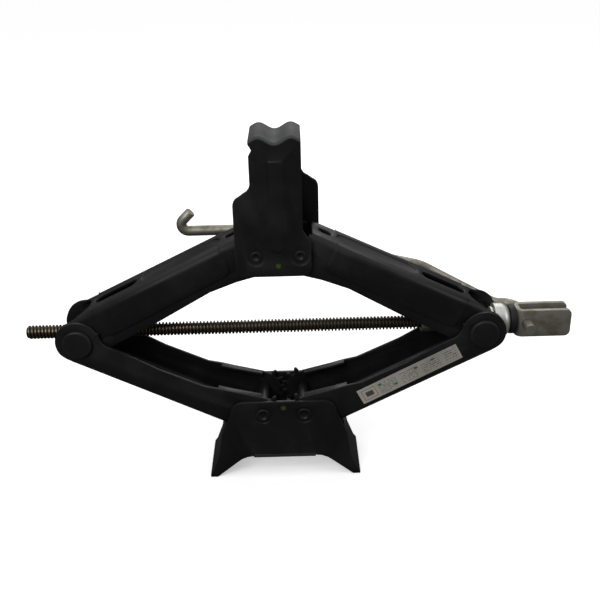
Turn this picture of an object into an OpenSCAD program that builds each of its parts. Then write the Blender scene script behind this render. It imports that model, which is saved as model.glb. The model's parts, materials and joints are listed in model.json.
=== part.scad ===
// Scissor jack: two geared pairs of channel arms between a foot and a saddle,
// closed by a screw that runs through two trunnions.
// +X runs along the screw towards its drive fork, +Z is up, and the origin is
// on the ground, midway between the foot's two pins.

/* [Linkage] */
// Distance between the two pivots of each arm
arm_length = 172.5; // [150:0.5:215]
// Distance between the two pins of the foot, and of the saddle
pin_spacing = 36.4; // [34:0.2:44]
// Angle of the arms above the horizontal as the jack stands
arm_angle = 25.8; // [10:0.2:55]
// Height of the foot's pins above the ground
foot_pin_height = 64.5; // [58:0.5:80]
// Height of the saddle's crown above the saddle's pins
saddle_height = 100; // [80:1:125]

/* [Sheet metal] */
// Thickness of the arms
arm_sheet = 2.5; // [2:0.1:3.2]
// Thickness of the foot
foot_sheet = 3; // [2.4:0.1:4]
// Thickness of the saddle
saddle_sheet = 3; // [2.4:0.1:4]
// Outside radius of the bend between an arm's web and its walls
arm_bend = 6; // [4:0.5:8]
// How far the long panel of an upper arm's wall stands out
panel_rise = 1.6; // [0.8:0.1:2]

/* [Widths across the jack] */
// Clear width between the walls of an upper arm, at its ears
arm_inner_width = 34.6; // [30:0.2:44]
// Gap between one moving sheet and the next
sheet_gap = 0.5; // [0.4:0.05:1]

/* [Ears and gear teeth] */
// Radius of an arm's ear round its trunnion
ear_radius = 19.2; // [16.5:0.5:22]
// Number of teeth that a whole gear would have
gear_teeth = 13; // [11:1:16]
// Tooth height above the pitch circle, in modules
gear_addendum = 0.8; // [0.6:0.05:0.9]
// Backlash along the pitch circle
gear_backlash = 0.5; // [0.3:0.05:1]

/* [Pins and trunnions] */
// Diameter of the foot's and the saddle's pins
pin_diameter = 10; // [8:0.5:12]
// Radial clearance of a pin or journal in an arm
running_clearance = 0.08; // [0.03:0.01:0.1]
// Diameter of the head on a foot pin
foot_head_diameter = 12.6; // [11:0.1:15]
// Height of a pin's domed head
dome_height = 2.2; // [1.5:0.1:3]
// Diameter of a trunnion's body
trunnion_diameter = 22; // [20:0.5:25]
// Diameter of a trunnion's journals
journal_diameter = 14; // [12:0.5:16]
// Diameter of a trunnion's heads
trunnion_head_diameter = 25; // [22:0.5:28]
// Thickness of a trunnion's heads
trunnion_head_thickness = 3.6; // [2.5:0.1:5]

/* [Screw] */
// Outside diameter of the screw's thread
screw_diameter = 12; // [10:0.5:14]
// Length of screw beyond the middle of the nut trunnion as the jack stands
screw_tail = 48.8; // [30:0.2:80]
// Outside diameter of the spacer sleeve on the screw's shank
sleeve_diameter = 17; // [15:0.5:18]
// Distance from the spacer sleeve's free end to the middle of its trunnion
sleeve_reach = 51; // [35:0.5:60]
// Diameter of the thrust bearing's cup
cup_diameter = 30; // [28:0.5:32]
// Diameter of a bearing ball
ball_diameter = 5; // [4:0.1:5.5]
// Number of bearing balls
ball_count = 10; // [8:1:11]
// Diameter and thickness of the collar behind the drive fork
collar_diameter = 24.6; // [20:0.2:28]
collar_thickness = 5; // [3:0.5:7]

/* [Drive fork and handle] */
// Overall width of the drive fork
fork_width = 19; // [17:0.5:24]
// Thickness of the drive fork's plate
fork_sheet = 4; // [3:0.1:4.5]
// Height of the drive fork
fork_height = 25.4; // [22:0.2:30]
// Length of the drive fork from the collar
fork_length = 47.5; // [40:0.5:60]
// Diameter of the handle's rod
rod_diameter = 9; // [7:0.1:10]
// Radial clearance of the handle's rod in the fork
rod_clearance = 0.1; // [0.03:0.01:0.1]
// How far the rod's short end stands out in front of the fork
rod_stub = 12; // [6:0.5:20]
// Rise of the rod's slanting stretch
rod_slope = 29.7; // [20:0.1:32]
// Height above the screw of the bend at the top of the slanting stretch
rod_level = 41; // [36:0.5:50]
// Rise of the rod's long stretch behind the arms
rod_far_slope = 14; // [10:0.5:18]
// Distance beyond the middle of the jack at which the long stretch levels off
rod_flat_reach = 23; // [10:1:30]
// Distance of the rod's hook from the middle of the jack
hook_reach = 78.5; // [65:0.5:95]

/* [Foot] */
// Half width of the foot on the ground
foot_half_length = 66; // [56:1:80]
// Half width of the foot's side walls where they end under the arms
foot_waist = 56.5; // [50:0.5:60]
// Height of the foot's side walls
foot_side_height = 44; // [30:1:45]
// Height of the arch under the foot's front and back plates
foot_arch = 21.5; // [12:0.5:30]
// How far the foot's plates rise above its pins
foot_crown = 14; // [12:0.5:18]
// Width of the turned-out lip that stands on the ground
foot_lip = 2.5; // [2:0.5:5]

/* [Saddle] */
// Half width of the saddle's upright
saddle_half_width = 20.6; // [18:0.2:26]
// Half width of the saddle plate's wing
wing_reach = 35; // [30:0.5:38]
// Height of the wing's shoulder above the pins
wing_height = 54; // [40:1:60]
// How far the saddle plates hang below the pins
saddle_drop = 17.6; // [12:0.2:18]
// Depth of the two-crested wave across the crown
crown_wave = 5.4; // [3:0.2:8]

/* [Label] */
// Length of the label on the front of one lower arm
label_length = 96; // [60:1:100]
// Height of the label
label_height = 14.8; // [10:0.5:18]

/* [Hidden] */

$fn = 64;
// Overlap of a cutting tool past the face that it cuts
past = 1;
// Longer than any piece, for cuts that go right through
far = 500;

// Places of the pivots
half_spacing = pin_spacing / 2;
arm_rise = arm_length * sin(arm_angle);
screw_z = foot_pin_height + arm_rise;
saddle_pin_z = screw_z + arm_rise;
trunnion_x = half_spacing + arm_length * cos(arm_angle);

// Distances from the jack's middle plane, from the inside out
upper_in = arm_inner_width / 2;
upper_out = upper_in + arm_sheet;
panel_out = upper_out + panel_rise;
lower_in = panel_out + sheet_gap;
lower_out = lower_in + arm_sheet;
saddle_in = panel_out + sheet_gap;
saddle_out = saddle_in + saddle_sheet;
foot_in = lower_out + sheet_gap;
foot_out = foot_in + foot_sheet;

// Gear teeth on the arms' inner ends
gear_module = pin_spacing / gear_teeth;
gear_pressure = 20;
base_r = half_spacing * cos(gear_pressure);
tip_r = half_spacing + gear_addendum * gear_module;
root_r = half_spacing - (gear_addendum + 0.2) * gear_module;
tooth_pitch = 360 / gear_teeth;
// Teeth reach this far either side of the middle one
teeth_beside = 2;

// Distances across an arm from the line of its pivots, outwards positive
web_far = 20.8;
web_near = 24.2;
web_slope = atan((web_near - web_far) / arm_length);
upper_web = 19.6;
pocket_depth = 1;

// The screw and what is on it
thread_r = screw_diameter / 2;
seat_x = trunnion_x + trunnion_diameter / 2 - 1.5;
race_thickness = 2.2;
race_r = cup_diameter / 2 - 3;
ball_x = seat_x + race_thickness + ball_diameter / 2;
upper_race_x = ball_x + ball_diameter / 2;
cup_floor_x = upper_race_x + race_thickness;
cup_end_x = cup_floor_x + 7.3;
collar_x = cup_end_x;
fork_x = collar_x + collar_thickness;
rod_x = fork_x + fork_sheet + rod_diameter / 2 + 1.2;
ball_ring_r = (race_r + thread_r) / 2 + 0.4;
fit_gap = 0.02;
open_gap = 0.4;
head_gap = 0.3;
pin_edge = 0.15;
ring_depth = 0.6;
cup_wrap = 2.4;
chamfer = 0.8;
tail_chamfer = 1.5;

// The handle's rod runs behind everything that turns with the arms
rod_r = rod_diameter / 2;
head_face = lower_out + head_gap + trunnion_head_thickness;
rod_y = max(head_face, foot_out + past) + 1.1 + rod_r;

// ---------- helpers ----------

// A solid drawn in the X-Z plane and as thick as from y0 to y1
module slab(y0, y1) {
    translate([0, y1, 0]) rotate([90, 0, 0]) linear_extrude(y1 - y0) children();
}

// The same slab on both sides of the middle plane
module both_slabs(y_in, y_out) {
    slab(y_in, y_out) children();
    slab(-y_out, -y_in) children();
}

// A cylinder along Y
module y_rod(r, y0, y1) {
    translate([0, y1, 0]) rotate([90, 0, 0]) cylinder(r = r, h = y1 - y0);
}

// A cylinder along X
module x_rod(r, x0, x1) {
    translate([x0, 0, 0]) rotate([0, 90, 0]) cylinder(r = r, h = x1 - x0);
}

// A channel's outer outline: flat top, two round corners, open below
module channel_outline(half, top, r) {
    translate([-half, top - 3 * web_near]) square([2 * half, 3 * web_near - r]);
    translate([r - half, top - 3 * web_near]) square([2 * (half - r), 3 * web_near]);
    for (side = [-1, 1])
        translate([side * (half - r), top - r]) circle(r);
}

module channel_section(half, top, r) {
    difference() {
        channel_outline(half, top, r);
        channel_outline(half - arm_sheet, top - arm_sheet, r - arm_sheet);
    }
}

// The section swept along the arm
module channel(half, top, r) {
    translate([-arm_length / 2, 0, 0]) rotate([90, 0, 90])
        linear_extrude(2 * arm_length) channel_section(half, top, r);
}

// An oblong hole or boss outline in plan, with round ends
module oblong(x0, x1, w) {
    translate([x0 + w / 2, -w / 2]) square([x1 - x0 - w, w]);
    for (x = [x0 + w / 2, x1 - w / 2])
        translate([x, 0]) circle(w / 2);
}

// Places a piece drawn on an arm: along it from the inner pivot, and outwards across it
module on_lower(side) {
    mirror([side < 0 ? 1 : 0, 0, 0]) translate([half_spacing, 0, foot_pin_height])
        rotate([0, -arm_angle, 0]) mirror([0, 0, 1]) children();
}

module on_upper(side) {
    mirror([side < 0 ? 1 : 0, 0, 0]) translate([half_spacing, 0, saddle_pin_z])
        rotate([0, arm_angle, 0]) children();
}

// ---------- gear teeth ----------

// Involute angle at a radius outside the base circle, in degrees
function involute(r) = let (t = sqrt(max(0, pow(r / base_r, 2) - 1))) t * 180 / PI - atan(t);
// Half the angle that a tooth takes up at a radius
function tooth_half(r) = tooth_pitch / 4 - gear_backlash / 2 / half_spacing * 180 / PI
    + involute(half_spacing) - involute(r);
function polar(r, angle) = [r * cos(angle), r * sin(angle)];

module tooth() {
    radii = [root_r - 1, base_r, (base_r + half_spacing) / 2, half_spacing, (half_spacing + tip_r) / 2, tip_r];
    polygon(concat([for (r = radii) polar(r, -tooth_half(max(r, base_r)))],
        [for (i = [len(radii) - 1:-1:0]) polar(radii[i], tooth_half(max(radii[i], base_r)))]));
}

// The teeth about the inner pivot. The left arms have a tooth on the line of the
// pins, and the right arms have a space there.
module teeth(side) {
    facing = 180 + arm_angle;
    phase = side < 0 ? 0 : tooth_pitch / 2;
    for (i = [-teeth_beside:teeth_beside])
        rotate(facing + phase + i * tooth_pitch) tooth();
    circle(root_r);
}

// ---------- arms ----------

// Side outline of a lower arm. Y of the outline is outwards from the jack's middle.
module lower_side(side) {
    fillet = 13;
    edge = 7;
    drop = sqrt(pow(ear_radius + fillet, 2) - pow(edge + fillet, 2));
    difference() {
        union() {
            polygon([[0, -root_r], [7, -root_r + 0.5], [34, -9.5], [46, -7.5], [58, -4.6],
                [100, -4.2], [arm_length - 40, -edge], [arm_length - drop, -edge],
                [arm_length - drop / 2, -ear_radius * 0.86], [arm_length, 0],
                [arm_length, web_far], [0, web_near]]);
            translate([arm_length, 0]) circle(ear_radius);
            translate([arm_length - ear_radius, 0]) square([ear_radius + 4, ear_radius * 0.97]);
            teeth(side);
        }
        translate([arm_length - drop, -edge - fillet]) circle(fillet);
        translate([arm_length, 0]) circle(journal_diameter / 2 + running_clearance);
        circle(pin_diameter / 2 + running_clearance);
    }
}

// What a lower arm's web keeps of its length: open at both ends
module lower_web_cut() {
    translate([0, 0, web_far - 8]) linear_extrude(40) {
        translate([-40, -upper_out]) square([42, 2 * upper_out]);
        translate([arm_length - 16, -upper_out]) square([60, 2 * upper_out]);
        translate([arm_length - 16, 0]) circle(lower_in - 5);
    }
}

module lower_arm(side) {
    color([0.11, 0.11, 0.12]) on_lower(side) {
        difference() {
            intersection() {
                slab(-lower_out - past, lower_out + past) lower_side(side);
                rotate([0, web_slope, 0]) channel(lower_out, web_near, arm_bend);
            }
            lower_web_cut();
            // pocket pressed along the web
            rotate([0, web_slope, 0]) translate([0, 0, web_near - pocket_depth])
                linear_extrude(12) oblong(60, arm_length - 40, 14);
        }
        // lip turned inwards along the walls beside the foot
        for (y = [lower_in - 4.5, -lower_in - 0.5])
            slab(y, y + 5)
                polygon([[8, -root_r + 0.3], [34, -9.5], [46, -7.5], [46, -5], [34, -7], [8, -root_r + 3.3]]);
    }
}

// Side outline of an upper arm
module upper_side(side) {
    difference() {
        union() {
            polygon([[0, -root_r], [10, -root_r - 1.5], [26, -14], [50, -12], [100, -15.6],
                [arm_length - 25, -17.6], [arm_length, -ear_radius + 0.6],
                [arm_length + 6, upper_web * 0.8], [arm_length - 4, upper_web], [0, upper_web]]);
            translate([arm_length, 0]) circle(ear_radius - 0.4);
            teeth(side);
        }
        translate([arm_length, 0]) circle(journal_diameter / 2 + running_clearance);
        circle(pin_diameter / 2 + running_clearance);
    }
}

// Outline of the panel that stands out of an upper arm's wall, drawn smaller by the inset.
// Its two lower corners are round.
module panel_outline(inset) {
    left = 25 + inset;
    right = arm_length - 25 - inset;
    left_low = -4.5 + inset;
    right_low = -8 + inset;
    corner = 6;
    polygon([[left, left_low + corner], [left + corner, left_low], [right - corner, right_low],
        [right, right_low + corner], [right, upper_web + past], [left, upper_web + past]]);
    translate([left + corner, left_low + corner]) circle(corner);
    translate([right - corner, right_low + corner]) circle(corner);
}

// Holes through an upper arm's web, and the hollows at its ends
module upper_web_cut() {
    translate([0, 0, upper_web - 8]) linear_extrude(30) {
        oblong(8, 20, 9);
        oblong(106, arm_length - 25, 13);
        translate([-60, -upper_in]) square([62, 2 * upper_in]);
        translate([arm_length - 3, 0]) circle(upper_in);
        translate([arm_length - 3, -upper_in]) square([60, 2 * upper_in]);
    }
}

module upper_arm(side) {
    color([0.11, 0.11, 0.12]) on_upper(side) difference() {
        union() {
            difference() {
                intersection() {
                    slab(-upper_out - past, upper_out + past) upper_side(side);
                    channel(upper_out, upper_web, arm_bend);
                }
                slab(-panel_out + arm_sheet, panel_out - arm_sheet) panel_outline(1.4);
            }
            intersection() {
                slab(-panel_out - past, panel_out + past) panel_outline(0);
                channel(panel_out, upper_web, arm_bend);
            }
        }
        upper_web_cut();
        // pocket pressed along the web
        translate([0, 0, upper_web - pocket_depth]) linear_extrude(12) oblong(25, 101, 20);
    }
}

module lower_arm_left() { lower_arm(-1); }
module lower_arm_right() { lower_arm(1); }
module upper_arm_left() { upper_arm(-1); }
module upper_arm_right() { upper_arm(1); }

// ---------- pins ----------

// A pin with a low dome at each end
module domed_pin(r, head_r, face, dome) {
    y_rod(r, -face, face);
    for (side = [-1, 1])
        rotate([side * 90, 0, 0]) translate([0, 0, face]) intersection() {
            translate([0, 0, dome - (pow(head_r, 2) + pow(dome, 2)) / (2 * dome)])
                sphere(r = (pow(head_r, 2) + pow(dome, 2)) / (2 * dome));
            cylinder(r = head_r + past, h = dome + past);
        }
}

module foot_pin(side) {
    color([0.1, 0.1, 0.11]) translate([side * half_spacing, 0, foot_pin_height])
        domed_pin(pin_diameter / 2, foot_head_diameter / 2, foot_out - ring_depth + fit_gap, dome_height);
}

module saddle_pin(side) {
    color([0.1, 0.1, 0.11]) translate([side * half_spacing, 0, saddle_pin_z])
        domed_pin(pin_diameter / 2, pin_diameter / 2 - pin_edge, saddle_out - ring_depth, dome_height);
}

module foot_pin_left() { foot_pin(-1); }
module foot_pin_right() { foot_pin(1); }
module saddle_pin_left() { saddle_pin(-1); }
module saddle_pin_right() { saddle_pin(1); }

// ---------- foot ----------

// Outline of the foot's front and back plates: round shoulders, splayed legs and an arch between them
module foot_plate_outline() {
    top = foot_pin_height + foot_crown;
    knee = half_spacing + 29;
    shoulder = 12;
    splay = foot_half_length - foot_waist;
    difference() {
        union() {
            polygon([[-foot_half_length, 0], [-foot_waist - splay * 0.35, foot_side_height * 0.5],
                [-foot_waist, foot_side_height], [-knee, top - shoulder], [-knee + shoulder, top],
                [knee - shoulder, top], [knee, top - shoulder], [foot_waist, foot_side_height],
                [foot_waist + splay * 0.35, foot_side_height * 0.5], [foot_half_length, 0]]);
            for (side = [-1, 1])
                translate([side * (knee - shoulder), top - shoulder]) circle(shoulder);
        }
        foot_arch_outline();
        for (side = [-1, 1])
            translate([side * half_spacing, foot_pin_height]) circle(pin_diameter / 2 + fit_gap);
    }
}

// The arch: slanting sides, with a round corner under its flat top
module foot_arch_outline() {
    corner = 22;
    flat_end = foot_half_length - 38;
    leg = foot_half_length - 4;
    polygon(concat([[-leg, -past], [-leg, 0]],
        [for (turn = [45:-15:0]) [-flat_end - corner * sin(turn), foot_arch - corner * (1 - cos(turn))]],
        [for (turn = [0:15:45]) [flat_end + corner * sin(turn), foot_arch - corner * (1 - cos(turn))]],
        [[leg, 0], [leg, -past]]));
}

// A side wall of the foot, with the lip that stands on the ground
module foot_side() {
    splay = foot_half_length - foot_waist;
    bend_x = foot_waist + splay * 0.35;
    bend_z = foot_side_height * 0.5;
    polygon([[foot_half_length - foot_sheet, 0], [foot_half_length + foot_lip, 0],
        [foot_half_length + foot_lip, foot_sheet], [foot_half_length, foot_sheet * 2],
        [bend_x, bend_z], [foot_waist, foot_side_height],
        [foot_waist - foot_sheet, foot_side_height], [bend_x - foot_sheet, bend_z]]);
}

module foot() {
    color([0.12, 0.12, 0.13]) {
        difference() {
            both_slabs(foot_in, foot_out) foot_plate_outline();
            for (side = [-1, 1], face = [-1, 1])
                translate([side * half_spacing, face * foot_out, foot_pin_height]) rotate([90, 0, 0])
                    cylinder(r = pin_diameter / 2 + 3, h = 2 * ring_depth, center = true);
        }
        for (side = [0, 1])
            mirror([side, 0, 0]) slab(-foot_out, foot_out) foot_side();
        // lip turned outwards under each arch
        for (side = [0, 1])
            mirror([0, side, 0]) slab(foot_out - past, foot_out + 2)
                translate([-foot_half_length + 38, foot_arch]) square([2 * (foot_half_length - 38), 1.6]);
    }
}

// ---------- saddle ----------

// The crown's wave at a distance from its middle: two crests with a valley between
function wave(x) = saddle_pin_z + saddle_height - crown_wave / 2
    * (1 + cos(x / (saddle_half_width * 0.63) * 180));

// Outline of the front plate, with its wing on the left
module saddle_plate_outline() {
    shoulder = saddle_pin_z + wing_height;
    bottom = saddle_pin_z - saddle_drop;
    neck_z = saddle_pin_z + saddle_height - 10;
    right = half_spacing + 9;
    round_r = 8;
    steps = 24;
    difference() {
        union() {
            polygon(concat(
                [[saddle_half_width, saddle_pin_z + 22], [right, saddle_pin_z + 12], [right, bottom + round_r],
                    [right - round_r, bottom], [-wing_reach + round_r, bottom], [-wing_reach, bottom + round_r],
                    [-wing_reach, shoulder - 2 - round_r]],
                [for (turn = [180:-14:110]) [-wing_reach + round_r * (1 + cos(turn)),
                    shoulder - 2 - round_r * (1 - sin(turn))]],
                [for (turn = [290:14:360]) [-saddle_half_width - round_r * (1 - cos(turn)),
                    shoulder + round_r * (1 + sin(turn))]],
                [[-saddle_half_width, neck_z - 6], [-saddle_half_width + 2.6, neck_z - 1]],
                [for (i = [0:steps]) let (x = saddle_half_width * (i / steps * 2 - 1)) [x, wave(x) - saddle_sheet]]));
            for (x = [-wing_reach + round_r, right - round_r])
                translate([x, bottom + round_r]) circle(round_r);
        }
        for (side = [-1, 1])
            translate([side * half_spacing, saddle_pin_z]) circle(pin_diameter / 2 + fit_gap);
    }
}

// Section of the crown, a waved strip
module crown_outline() {
    steps = 24;
    polygon(concat(
        [for (i = [0:steps]) let (x = saddle_half_width * (i / steps * 2 - 1)) [x, wave(x)]],
        [for (i = [steps:-1:0]) let (x = saddle_half_width * (i / steps * 2 - 1)) [x, wave(x) - saddle_sheet]]));
}

// Front plate with its ring dimples and the rib pressed up its middle
module saddle_plate() {
    difference() {
        slab(-saddle_out, -saddle_in) saddle_plate_outline();
        for (side = [-1, 1])
            translate([side * half_spacing, -saddle_out, saddle_pin_z]) rotate([90, 0, 0])
                translate([0, 0, -ring_depth]) cylinder(r = pin_diameter / 2 + 3, h = 2);
        slab(-saddle_in - 1, -saddle_in + past) rib_outline(4);
    }
    slab(-saddle_out - 0.9, -saddle_out + past) rib_outline(5.8);
}

// The rib's outline: an upright bar with a round lower end
module rib_outline(half) {
    rib_top = saddle_pin_z + saddle_height - 20;
    rib_foot = saddle_pin_z + 10;
    translate([-half, rib_foot]) square([2 * half, rib_top - rib_foot]);
    translate([0, rib_foot]) circle(half);
}

module saddle() {
    color([0.12, 0.12, 0.13]) {
        saddle_plate();
        rotate([0, 0, 180]) saddle_plate();
        slab(-saddle_out, saddle_out) crown_outline();
    }
}

// ---------- trunnions ----------

module trunnion_blank() {
    body_half = upper_in - 0.4;
    difference() {
        union() {
            y_rod(trunnion_diameter / 2, -body_half, body_half);
            y_rod(journal_diameter / 2, -lower_out - 1, lower_out + 1);
            for (side = [0, 1]) mirror([0, side, 0])
                translate([0, lower_out + head_gap, 0]) rotate([-90, 0, 0]) {
                    cylinder(r = trunnion_head_diameter / 2, h = trunnion_head_thickness - chamfer);
                    translate([0, 0, trunnion_head_thickness - chamfer])
                        cylinder(r1 = trunnion_head_diameter / 2, r2 = trunnion_head_diameter / 2 - 1.2, h = chamfer);
                }
        }
        for (side = [-1, 1])
            translate([side * (trunnion_diameter / 2 - 1.5 + far / 2), 0, 0])
                cube([far, 2 * body_half + past, trunnion_diameter], center = true);
    }
}

module nut_trunnion() {
    color([0.2, 0.2, 0.2]) translate([-trunnion_x, 0, screw_z]) difference() {
        trunnion_blank();
        x_rod(thread_r + running_clearance, -trunnion_diameter, trunnion_diameter);
    }
}

module thrust_trunnion() {
    color([0.2, 0.2, 0.2]) translate([trunnion_x, 0, screw_z]) difference() {
        trunnion_blank();
        x_rod(thread_r + running_clearance, -trunnion_diameter, trunnion_diameter);
    }
}

// ---------- screw, thrust bearing and drive fork ----------

module screw() {
    tail_x = -trunnion_x - screw_tail;
    color([0.32, 0.28, 0.22]) translate([0, 0, screw_z]) {
        x_rod(thread_r, tail_x + tail_chamfer, fork_x + fork_sheet - 0.5);
        translate([tail_x, 0, 0]) rotate([0, 90, 0])
            cylinder(r1 = thread_r - tail_chamfer, r2 = thread_r, h = tail_chamfer);
    }
}

module washer(x0, x1, outer, bore) {
    translate([0, 0, screw_z]) difference() {
        x_rod(outer, x0, x1);
        x_rod(bore, x0 - past, x1 + past);
    }
}

module lower_race() {
    color("silver") washer(seat_x + fit_gap, seat_x + race_thickness, race_r, thread_r + running_clearance);
}

module upper_race() {
    color("silver") washer(upper_race_x, upper_race_x + race_thickness - fit_gap, race_r, thread_r + fit_gap);
}

module bearing_balls() {
    color("silver") for (i = [0:ball_count - 1])
        translate([ball_x, 0, screw_z]) rotate([(i + 0.5) * 360 / ball_count, 0, 0])
            translate([0, ball_ring_r, 0]) sphere(r = ball_diameter / 2 - running_clearance);
}

module spacer_sleeve() {
    color([0.75, 0.74, 0.7])
        washer(trunnion_x - sleeve_reach, trunnion_x - trunnion_diameter / 2 + 1.5 - open_gap,
            sleeve_diameter / 2, thread_r + fit_gap);
}

// A domed cup over the balls, open towards the trunnion
module bearing_cup() {
    r = cup_diameter / 2;
    dome = cup_end_x - cup_floor_x;
    rim_x = seat_x + open_gap + cup_wrap;
    color([0.85, 0.85, 0.85]) translate([0, 0, screw_z]) difference() {
        union() {
            x_rod(r, rim_x, cup_floor_x);
            x_rod(r - dome, cup_floor_x - past, cup_end_x);
            translate([cup_floor_x, 0, 0]) rotate([0, 90, 0])
                rotate_extrude() translate([r - dome, 0]) intersection() {
                    circle(dome);
                    square([dome, dome]);
                }
        }
        x_rod(race_r + fit_gap, rim_x - past, cup_floor_x);
        x_rod(thread_r + fit_gap, rim_x - past, cup_end_x + past);
    }
}

module thrust_collar() {
    color([0.15, 0.15, 0.15])
        washer(collar_x + fit_gap, fork_x - fit_gap, collar_diameter / 2, thread_r + fit_gap);
}

// Plan of the fork: a U of plate, open away from the screw
module fork_plan(grow, length) {
    bend = 6.5;
    half = fork_width / 2 - grow;
    r = bend - grow;
    x0 = fork_x + grow;
    translate([x0, r - half]) square([length, 2 * (half - r)]);
    translate([x0 + r, -half]) square([length - r, 2 * half]);
    for (side = [-1, 1])
        translate([x0 + r, side * (half - r)]) circle(r);
}

module drive_fork() {
    corner = 5;
    end_x = fork_x + fork_length;
    color([0.62, 0.6, 0.56]) translate([0, 0, screw_z]) difference() {
        translate([0, 0, -fork_height / 2]) linear_extrude(fork_height) difference() {
            fork_plan(0, fork_length);
            fork_plan(fork_sheet, fork_length);
        }
        for (side = [-1, 1])
            slab(-fork_width, fork_width) difference() {
                translate([end_x - corner, side > 0 ? fork_height / 2 - corner : -fork_height / 2 - past])
                    square([corner + past, corner + past]);
                translate([end_x - corner, side * (fork_height / 2 - corner)]) circle(corner);
            }
        translate([rod_x, 0, 0]) y_rod(rod_r + rod_clearance, -fork_width, fork_width);
        x_rod(thread_r + fit_gap, fork_x - past, fork_x + fork_sheet + past);
    }
}

// ---------- handle ----------

// A ring of points round the rod's middle line, at a place, square to two directions
function rod_ring(place, n, b, r) = [for (i = [0:rod_sides - 1])
    place + r * (cos(i * 360 / rod_sides) * n + sin(i * 360 / rod_sides) * b)];

// A ring on the stretches that lie in the X-Z plane, where the rod climbs at an angle
function level_ring(place, climb, r) = rod_ring(place, [0, 1, 0], [sin(climb), 0, cos(climb)], r);

// The point reached by a bend in the X-Z plane, from one climb to another
function bend_end(start, radius, from, to) = let (turn = sign(to - from))
    start + radius * turn * [sin(from) - sin(to), 0, cos(from) - cos(to)];

function bend_rings(start, radius, from, to, steps) = [for (i = [1:steps])
    let (climb = from + (to - from) * i / steps)
    level_ring(bend_end(start, radius, from, climb), climb, rod_r)];

// A closed skin over rings that all have the same number of points
module skin(rings) {
    n = len(rings[0]);
    last = (len(rings) - 1) * n;
    polyhedron(points = [for (ring = rings) each ring],
        faces = concat([[for (i = [n - 1:-1:0]) i]],
            [for (k = [0:len(rings) - 2]) for (i = [0:n - 1])
                [k * n + i, k * n + (i + 1) % n, (k + 1) * n + (i + 1) % n, (k + 1) * n + i]],
            [[for (i = [0:n - 1]) last + i]]),
        convexity = 6);
}

rod_sides = 20;
elbow = 14;
hook_bend = 6;
hook_angle = 135;
hook_tip = 9.5;
first_bend = 20;
second_bend = 40;
third_bend = 40;

module handle_rod() {
    // the straight stretches between the bends
    bends_rise = first_bend * (1 - cos(rod_slope)) + second_bend * (cos(rod_far_slope) - cos(rod_slope));
    slant = (rod_level - bends_rise) / sin(rod_slope);
    leg_end = rod_y - elbow;
    along = function (start, climb, length) start + length * [-cos(climb), 0, sin(climb)];
    a = [rod_x - elbow, rod_y, 0];
    b = bend_end(a, first_bend, 0, rod_slope);
    c = along(b, rod_slope, slant);
    d = bend_end(c, second_bend, rod_slope, rod_far_slope);
    e = along(d, rod_far_slope, (d.x + rod_flat_reach) / cos(rod_far_slope));
    f = bend_end(e, third_bend, rod_far_slope, 0);
    g = along(f, 0, f.x + hook_reach);
    h = along(bend_end(g, hook_bend, 0, hook_angle), hook_angle, hook_tip);
    elbow_rings = [for (i = [0:8]) let (t = 90 * i / 8)
        rod_ring([rod_x - elbow + elbow * cos(t), leg_end + elbow * sin(t), 0],
            [cos(t), sin(t), 0], [0, 0, 1], rod_r)];
    color([0.7, 0.69, 0.64]) translate([0, 0, screw_z]) {
        translate([rod_x, 0, 0]) y_rod(rod_r, -fork_width / 2 - rod_stub, leg_end - 0.2);
        skin(concat(
            [for (back = [3, 0.8]) rod_ring([rod_x, leg_end - back, 0], [1, 0, 0], [0, 0, 1], rod_r - 0.1)],
            elbow_rings,
            bend_rings(a, first_bend, 0, rod_slope, 4),
            [level_ring(c, rod_slope, rod_r)],
            bend_rings(c, second_bend, rod_slope, rod_far_slope, 5),
            [level_ring(e, rod_far_slope, rod_r)],
            bend_rings(e, third_bend, rod_far_slope, 0, 3),
            [level_ring(g, 0, rod_r)],
            bend_rings(g, hook_bend, 0, hook_angle, 10),
            [level_ring(h, hook_angle, rod_r), level_ring(along(h, hook_angle, 0.8), hook_angle, rod_r - 0.8)]));
    }
}

// ---------- label ----------

// A thin label on the front wall of the right lower arm
module label() {
    label_start = 51;
    label_middle = 9.2;
    label_tilt = 2;
    film = 0.25;
    color([0.78, 0.77, 0.74]) on_lower(1) slab(-lower_out - film, -lower_out)
        translate([label_start, label_middle]) rotate(-label_tilt)
            translate([0, -label_height / 2]) square([label_length, label_height]);
}

foot();
foot_pin_left();
foot_pin_right();
lower_arm_left();
lower_arm_right();
upper_arm_left();
upper_arm_right();
saddle();
saddle_pin_left();
saddle_pin_right();
nut_trunnion();
thrust_trunnion();
lower_race();
bearing_balls();
screw();
spacer_sleeve();
upper_race();
bearing_cup();
thrust_collar();
drive_fork();
handle_rod();
label();
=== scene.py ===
"""The looks of a scissor jack: painted sheet metal, a rolled thread, and plated fork and handle."""

import json
from math import cos, pi, radians, sin

import bpy
from mathutils import Matrix, Vector

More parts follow.
